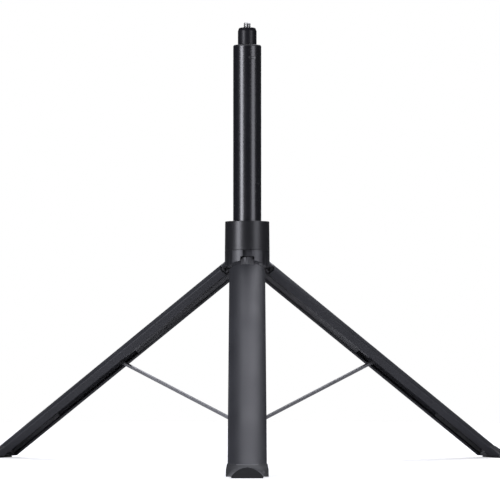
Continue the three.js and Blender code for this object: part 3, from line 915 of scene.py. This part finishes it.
def strut(number):
    """A flat steel link with an eye at each end."""
    place = strut_place(number)
    low, high = local_box(f"strut_{number}", place)
    length = high.z - low.z - 2 * EYE_R
    neck = asin(BAR_HALF / EYE_R) + EYE_NECK_ANGLE
    round_part = pi - neck
    outline = []
    for end, centre in ((1, 0), (-1, -length)):
        for step in range(EYE_STEPS + 1):
            angle = pi / 2 * end - round_part + 2 * round_part * step / EYE_STEPS
            outline.append((EYE_R * cos(angle), centre + EYE_R * sin(angle)))
        edge = -BAR_HALF * end
        near = centre - end * EYE_R * cos(neck) * EYE_NECK_REACH
        outline.append((edge, near))
        outline.append((edge, -length - near))
    link = extruded("link", outline, -STRUT_HALF, STRUT_HALF)
    moved(link, Matrix(((0, 0, 1, 0), (1, 0, 0, 0), (0, 1, 0, 0), (0, 0, 0, 1))))
    eyes = (0, -length)
    holes = [across(EYE_HOLE_R, STRUT_HALF * 2, Matrix.Translation((0, 0, z))) for z in eyes]
    worked(link, "DIFFERENCE", holes)
    stands_for(softened(link, LINK_EASE, steps=3), f"strut_{number}", place)
    round_pin(f"strut_foot_pin_{number}", place)


# ---- the pole's foot ----
def base_part(node, ease):
    """A part of the pole's foot: the CAD shape with its edges rounded."""
    stands_for(softened(cad_shape(node, POLE), ease, angle=35), node, POLE)


# ---- everything in its place ----
outer_tube()
for number in SECTIONS:
    section(number)
    guide_ring(number - 1)
    bush(f"bush_{number}", radius_of(f"tube_{number}") - BUSH_DEPTH)
pole_head()
head_pad()
camera_screw()
collar_sleeve()
bush("collar_bush", COLLAR_BORE)
leg_hub()
base_part("base_hub", 0.25 * MM)
base_part("base_cap", 0.4 * MM)
for number in LEGS:
    leg(number)
    strut(number)


# ---- floor, light and background ----
FLOOR_RADIUS = 1.6
FLOOR_FADE = (0.35, 1.2)
FLOOR_SHADE = 0.8
FLOOR_LIFT = 0.5


def floor():
    """A pale floor that fades out before its edge, and looks a little paler than it reflects."""
    disc = turned("floor", [(0, -MM), (FLOOR_RADIUS, -MM), (FLOOR_RADIUS, 0), (0, 0)], segments=96)
    disc.location = AXIS
    pale = bpy.data.materials.new("pale_floor")
    pale.use_nodes = True
    nodes, links = pale.node_tree.nodes, pale.node_tree.links
    shader = nodes["Principled BSDF"]
    shader.inputs["Base Color"].default_value = (FLOOR_SHADE, FLOOR_SHADE, FLOOR_SHADE, 1)
    shader.inputs["Roughness"].default_value = 0.9
    shader.inputs["Specular IOR Level"].default_value = 0
    shader.inputs["Emission Color"].default_value = (1, 1, 1, 1)
    path = nodes.new("ShaderNodeLightPath")
    lift = spread(nodes, links, path.outputs["Is Camera Ray"], 0, FLOOR_LIFT, 0, 1)
    links.new(lift, shader.inputs["Emission Strength"])
    place = nodes.new("ShaderNodeTexCoord")
    distance = nodes.new("ShaderNodeVectorMath")
    distance.operation = "LENGTH"
    links.new(place.outputs["Object"], distance.inputs[0])
    fade = spread(nodes, links, distance.outputs["Value"], 1, 0, *FLOOR_FADE)
    links.new(fade, shader.inputs["Alpha"])
    disc.data.materials.append(pale)


COOL_WHITE = (1, 1.005, 1.10)
ROOM_COLOUR = (0.9, 0.95, 1, 1)
ROOM_STRENGTH = 0.075
MIDDLE = AXIS + Vector((0, 0, 0.2))


def softbox(name, turn, rise, distance, width, height, power):
    """An area light facing the object's middle, turned from the camera and risen, in degrees."""
    data = bpy.data.lights.new(name, "AREA")
    data.shape = "RECTANGLE"
    data.size = width
    data.size_y = height
    data.energy = power
    data.color = COOL_WHITE
    light = bpy.data.objects.new(name, data)
    azimuth, rise = radians(turn), radians(rise)
    direction = Vector((sin(azimuth) * cos(rise), -cos(azimuth) * cos(rise), sin(rise)))
    light.location = MIDDLE + direction * distance
    light.rotation_euler = direction.to_track_quat("Z", "Y").to_euler()
    light.visible_camera = False
    bpy.context.scene.collection.objects.link(light)


def studio_world():
    """White behind the object, and a dim room for it to reflect."""
    world = bpy.data.worlds.new("studio")
    world.use_nodes = True
    nodes, links = world.node_tree.nodes, world.node_tree.links
    room = nodes["Background"]
    room.inputs["Color"].default_value = ROOM_COLOUR
    room.inputs["Strength"].default_value = ROOM_STRENGTH
    white = nodes.new("ShaderNodeBackground")
    white.inputs["Color"].default_value = (1, 1, 1, 1)
    path = nodes.new("ShaderNodeLightPath")
    mix = nodes.new("ShaderNodeMixShader")
    links.new(path.outputs["Is Camera Ray"], mix.inputs["Fac"])
    links.new(room.outputs["Background"], mix.inputs[1])
    links.new(white.outputs["Background"], mix.inputs[2])
    links.new(mix.outputs["Shader"], nodes["World Output"].inputs["Surface"])
    bpy.context.scene.world = world


floor()
softbox("left_light", turn=-46, rise=8, distance=1.7, width=0.6, height=1.5, power=32.5)
softbox("right_light", turn=50, rise=8, distance=1.9, width=0.9, height=1.5, power=16.5)
softbox("top_light", turn=166, rise=62, distance=1.9, width=1.7, height=1.8, power=34)
softbox("back_light", turn=178, rise=12, distance=2.2, width=0.7, height=1.2, power=7)
studio_world()
bpy.context.scene.view_settings.view_transform = "Standard"
